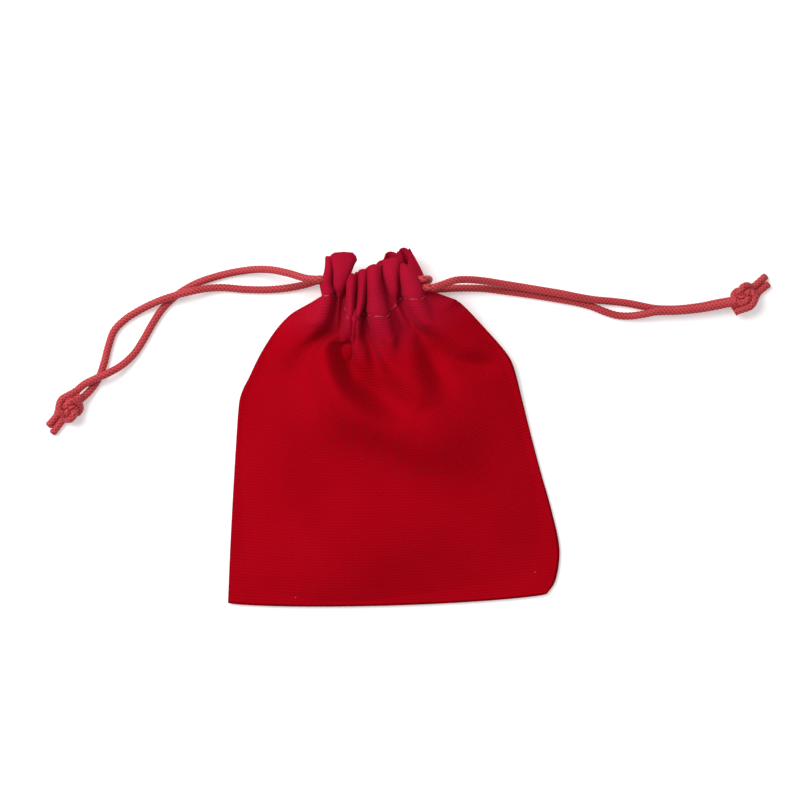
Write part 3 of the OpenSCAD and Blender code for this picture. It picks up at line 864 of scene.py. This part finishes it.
def build_surface(coarse):
    """The whole cloth's outer surface: its grid, points, normals and weave coordinates."""
    small = Grid(COLS, ROWS)
    big = Grid(COLS * FINER, ROWS * FINER)
    coarse = calmed(coarse, small)
    points = np.zeros((len(big.place), 3))
    for layer in (BACK, FRONT):
        points[big.ids[layer]] = finer(coarse[small.ids[layer]], FINER)
    points[:, 2] = np.maximum(points[:, 2], ON_TABLE)
    heights = np.interp(np.arange(ROWS * FINER + 1) / FINER, np.arange(ROWS + 1), row_heights())
    layer, c, r = big.place.T
    header = np.maximum(heights[r] - BODY_H, 0) * np.where(layer == BACK, BACK_HEADER_H / HEADER_H, 1)
    weave = np.stack([(c / big.cols - 0.5) * CLOTH_W, np.minimum(heights[r], BODY_H) + header], 1)
    normals = np.zeros_like(points)
    for side in (FRONT, BACK):
        quads = big.faces(side)
        corners = points[quads]
        face_normal = np.cross(corners[:, 2] - corners[:, 0], corners[:, 3] - corners[:, 1])
        for corner in quads.T:
            np.add.at(normals, corner, face_normal)
    normals /= np.linalg.norm(normals, axis=1)[:, None]
    groove = np.exp(-(((heights[r] - BODY_H) / GROOVE_W) ** 2))
    points -= normals * (GROOVE * groove)[:, None]
    return big, points, normals, weave


def v_height(x):
    """How high the line between body and casing is at x."""
    return V_LOW + V_RISE * abs(x - NECK_X) / NECK_HALF


def cut_out(bm, surface, layer, side, casing):
    """Puts a layer's left or right half, above or below the V, in the mesh, as one sheet."""
    grid, points, normals, weave = surface
    outward = bm.verts.layers.float_vector.new("outward")
    flat_place = bm.verts.layers.float_vector.new("flat_place")
    at = {}
    for i in np.unique(grid.faces(layer)).tolist():
        at[i] = bm.verts.new(points[i])
        at[i][outward] = normals[i]
        at[i][flat_place] = (*weave[i], 0)
    for quad in grid.faces(layer).tolist():
        bm.faces.new([at[i] for i in quad])
    way = -1 if side == "left" else 1
    slope = Vector((-way * V_RISE, NECK_HALF, 0)).normalized()
    planes = [((NECK_X, 0, 0), Vector((-way, 0, 0))), ((NECK_X, V_LOW, 0), -slope if casing else slope)]
    for place, out in planes:
        everything = bm.verts[:] + bm.edges[:] + bm.faces[:]
        bmesh.ops.bisect_plane(bm, geom=everything, dist=1e-5, plane_co=place, plane_no=out, clear_outer=True)
    return outward, flat_place


def add_lining(bm, outward, flat_place, layer, casing):
    """Joins the same cloth, one thickness in, to the sheet round every edge. Returns the edges' faces."""
    thickness = HEADER_T if casing else CLOTH_T
    top = BODY_H + (HEADER_H if layer == FRONT else BACK_HEADER_H)
    bm.verts.index_update()
    sheet = bm.faces[:]
    edges = [e for e in bm.edges if e.is_boundary]
    lining = {}
    for v in bm.verts[:]:
        up = v[flat_place].y
        below_top = min(1.0, max(0.0, (top - up) / TOP_ROUND))
        above_stitches = min(1.0, max(0.0, (up - BODY_H) / THICKEN_OVER))
        deep = CLOTH_T + (thickness - CLOTH_T) * above_stitches
        w = bm.verts.new(v.co - v[outward] * deep * (TOP_THIN + (1 - TOP_THIN) * below_top))
        w[outward] = -v[outward]
        w[flat_place] = v[flat_place]
        lining[v] = w
    for face in sheet:
        bm.faces.new([lining[v] for v in reversed(face.verts)])
    rims = []
    for edge in edges:
        loop = edge.link_loops[0]
        a, b = loop.vert, loop.link_loop_next.vert
        rims.append(bm.faces.new((b, a, lining[a], lining[b])))
    bm.normal_update()
    bm.faces.index_update()
    return [(rim.index, Vector(rim.normal)) for rim in rims]


def taken(mesh, name):
    """The values of one of the mesh's vector attributes, which is then removed."""
    values = np.empty(len(mesh.vertices) * 3, np.float32)
    mesh.attributes[name].data.foreach_get("vector", values)
    mesh.attributes.remove(mesh.attributes[name])
    return values.reshape(-1, 3)


def cut_piece(name, surface, layer, side, casing):
    """One closed piece of cloth: a layer's left or right half, above or below the V."""
    bm = bmesh.new()
    outward, flat_place = cut_out(bm, surface, layer, side, casing)
    rims = add_lining(bm, outward, flat_place, layer, casing)
    mesh = bpy.data.meshes.new(name)
    bm.to_mesh(mesh)
    bm.free()
    normals, weave = taken(mesh, "outward"), taken(mesh, "flat_place")[:, :2] * MM
    mesh.transform([[MM, 0, 0, 0], [0, MM, 0, 0], [0, 0, MM, 0], [0, 0, 0, 1]])
    corners = np.empty(len(mesh.loops), int)
    mesh.loops.foreach_get("vertex_index", corners)
    mesh.uv_layers.new(name="weave").data.foreach_set("uv", weave[corners].ravel())
    mesh.polygons.foreach_set("use_smooth", [True] * len(mesh.polygons))
    corner_normals = normals[corners]
    for index, out in rims:
        for k in mesh.polygons[index].loop_indices:
            corner_normals[k] = (Vector(corner_normals[k]) * ROUNDING + out).normalized()
    for polygon in mesh.polygons:
        out = np.array(polygon.normal)
        for k in polygon.loop_indices:
            facing = corner_normals[k] @ out
            if facing < FACING:
                bent = corner_normals[k] + (FACING - facing) * out
                corner_normals[k] = bent / np.linalg.norm(bent)
    mesh.normals_split_custom_set(corner_normals.tolist())
    mesh.materials.append(VELVET)
    return add_object(name, mesh)


def follow_mouth(piece):
    """Bakes the piece's transform into its mesh."""
    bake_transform(piece)


def flat_area(surface, layer, side, casing):
    """The area of the flat cloth that a piece is cut from, in square metres."""
    grid, points, _, weave = surface
    quads = grid.faces(layer)
    centre = points[quads].mean(1)
    half = (centre[:, 0] < NECK_X) == (side == "left")
    high = centre[:, 1] > V_LOW + V_RISE * np.abs(centre[:, 0] - NECK_X) / NECK_HALF
    w = weave[quads]
    area = np.abs(np.cross(w[:, 2] - w[:, 0], w[:, 3] - w[:, 1])) / 2
    area *= 1 - TAKE_IN * smooth_step(w[:, :, 1].mean(1), TAKE_IN_FROM, BODY_H)
    return float(area[half & (high == casing)].sum()) * MM * MM


PLEATS = {"left": (1, 2), "right": (3, 4)}  # the CAD pleats on each side


def make_cloth(surface):
    for layer, face in ((FRONT, "front"), (BACK, "back")):
        for side in ("left", "right"):
            for casing in (False, True):
                name = "%s_%s_%s" % (face, "casing" if casing else "cloth", side)
                piece = cut_piece(name, surface, layer, side, casing)
                follow_mouth(piece)
                if casing:
                    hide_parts(*["%s_pleat_%d" % (face, i) for i in PLEATS[side]])
                else:
                    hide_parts(face + "_panel")
                area = flat_area(surface, layer, side, casing)


STITCH_RISE = 0.32  # how high a stitch's middle bows out
STITCH_SINK = 0.2  # how far its ends lie in the pile
SEAM_IN = 2  # how many columns or rows the seams' stitches are from the cloth's edge


def dashes(line, outward):
    """Short lines along a seam, a stitch and a gap at a time, lying in the pile."""
    run = run_along(line)
    arch = 1 - np.linspace(-1, 1, 9) ** 4
    found = []
    at = STITCH_GAP / 2
    while at + STITCH_L < run[-1]:
        want = np.linspace(at, at + STITCH_L, 9)
        place, out = (np.stack([np.interp(want, run, values) for values in rows.T], 1)
                      for rows in (line, outward))
        found.append(place + out * (STITCH_RISE * arch - STITCH_SINK)[:, None])
        at += STITCH_L + STITCH_GAP
    return found


def thread_piece(name, lines):
    piece = cord_piece(name, lines, THREAD, THREAD_R, False, 10)
    return piece


def make_stitches(surface):
    """The casing's stitches on both layers, and the seams' stitches between the layers."""
    grid, points, normals, _ = surface
    row = BODY_ROWS * FINER
    for layer, face in ((FRONT, "front"), (BACK, "back")):
        ids = grid.ids[layer][:, row]
        groups = {}
        for dash in dashes(points[ids], normals[ids]):
            x, y = dash[4][:2]
            side = "left" if x < NECK_X else "right"
            groups.setdefault((side, bool(y > v_height(x))), []).append(dash)
        for (side, casing), lines in groups.items():
            piece = thread_piece("%s_%s_stitches_%s" % (face, "casing" if casing else "cloth", side), lines)
            follow_mouth(piece)
            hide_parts(*["%s_pleat_%d_stitches" % (face, i) for i in PLEATS[side]])
    between = (points[grid.ids[FRONT]] + points[grid.ids[BACK]]) / 2
    for side, column in (("left", SEAM_IN), ("right", grid.cols - SEAM_IN)):
        line = between[column, SEAM_IN:row]
        piece = thread_piece(side + "_seam_thread", dashes(line, 0 * line))
        follow_mouth(piece)
        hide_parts(side + "_seam_stitches")
    line = between[SEAM_IN:grid.cols - SEAM_IN + 1, SEAM_IN]
    piece = thread_piece("bottom_seam_thread", dashes(line, 0 * line))
    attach(piece, "pouch")
    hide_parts("bottom_seam_stitches")


FRONT_LANE_Z, BACK_LANE_Z = 7.4, 4.9  # how high the hidden runs of the cords lie
LOOP_REACH = {"left": 0.2, "right": -2.2}  # how far each cord's bend stands out beyond the neck
LOOP_RINGS = 409  # rings of the mesh along a whole loop


def make_cord_loops():
    """Each drawcord's run inside the casings, in two halves, one on each side of the mouth's middle."""
    for name, way in (("left", 1), ("right", -1)):
        near = NECK_X - way * (NECK_HALF + 0.6)
        far = NECK_X + way * (NECK_HALF + LOOP_REACH[name])
        inside = NECK_HALF - 5.5
        y = CORD_Y[name]
        turn_z = FRONT_CORD_Z - 0.8 if LOOP_REACH[name] > 0 else FRONT_LANE_Z - 0.8
        front = [(near, y, FRONT_CORD_Z), (near + way * 1.2, y, FRONT_CORD_Z),
                 (NECK_X - way * inside, y, FRONT_LANE_Z), (NECK_X, y, FRONT_LANE_Z),
                 (NECK_X + way * inside, y, FRONT_LANE_Z), (far - way * 2.2, y, turn_z)]
        bend = [(far - way * 0.5, y + 0.1, turn_z - 1.2), (far, y + 0.2, (FRONT_CORD_Z + BACK_CORD_Z) / 2),
                (far - way * 0.5, y + 0.1, BACK_CORD_Z + 2.4)]
        back = [(far - way * 2.2, y, BACK_CORD_Z + 0.8), (NECK_X + way * inside, y, BACK_LANE_Z),
                (NECK_X, y, BACK_LANE_Z), (NECK_X - way * inside, y, BACK_LANE_Z),
                (near + way * 1.2, y, BACK_CORD_Z), (near, y, BACK_CORD_Z)]
        line = curve(front + bend + back, LOOP_RINGS)
        towards_far = (line[:, 0] - NECK_X) * way >= 0
        halves = {"far": [line[towards_far]]}
        ends = np.nonzero(~towards_far)[0]
        gap = np.nonzero(np.diff(ends) > 1)[0][0] + 1
        first, second = ends[:gap], ends[gap:]
        halves["near"] = [line[:first[-1] + 2], line[second[0] - 1:]]
        for half, lines in halves.items():
            piece = cord_piece("%s_cord_loop_%s_half" % (name, half), lines)
            follow_mouth(piece)
            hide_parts(name + "_cord_loop")


cloth_surface = build_surface(simulate())
make_cloth(cloth_surface)
make_stitches(cloth_surface)
make_cord_loops()


# ---- table and light
def make_table():
    n = Nodes("white_table")
    material = n.surface(Base_Color=(0.86, 0.86, 0.86, 1), Roughness=0.9, Specular_IOR_Level=0.1,
                         Emission_Color=(1, 1, 1, 1), Emission_Strength=0.30)
    new_object("table", *square(3.0), material)


def make_light():
    world = bpy.data.worlds.new("soft_room")
    bpy.context.scene.world = world
    world.use_nodes = True
    background = world.node_tree.nodes["Background"].inputs
    background["Color"].default_value = (1, 1, 1, 1)
    background["Strength"].default_value = 0.50
    lamp = bpy.data.lights.new("soft_box", "AREA")
    lamp.size = 0.6
    lamp.energy = 8.5
    light = add_object("soft_box", lamp)
    light.location = (-0.45, 0.35, 0.75)
    light.rotation_euler = (Vector((0, 0, 0)) - light.location).to_track_quat("-Z", "Y").to_euler()
    bpy.context.scene.view_settings.view_transform = "Standard"


make_table()
make_light()
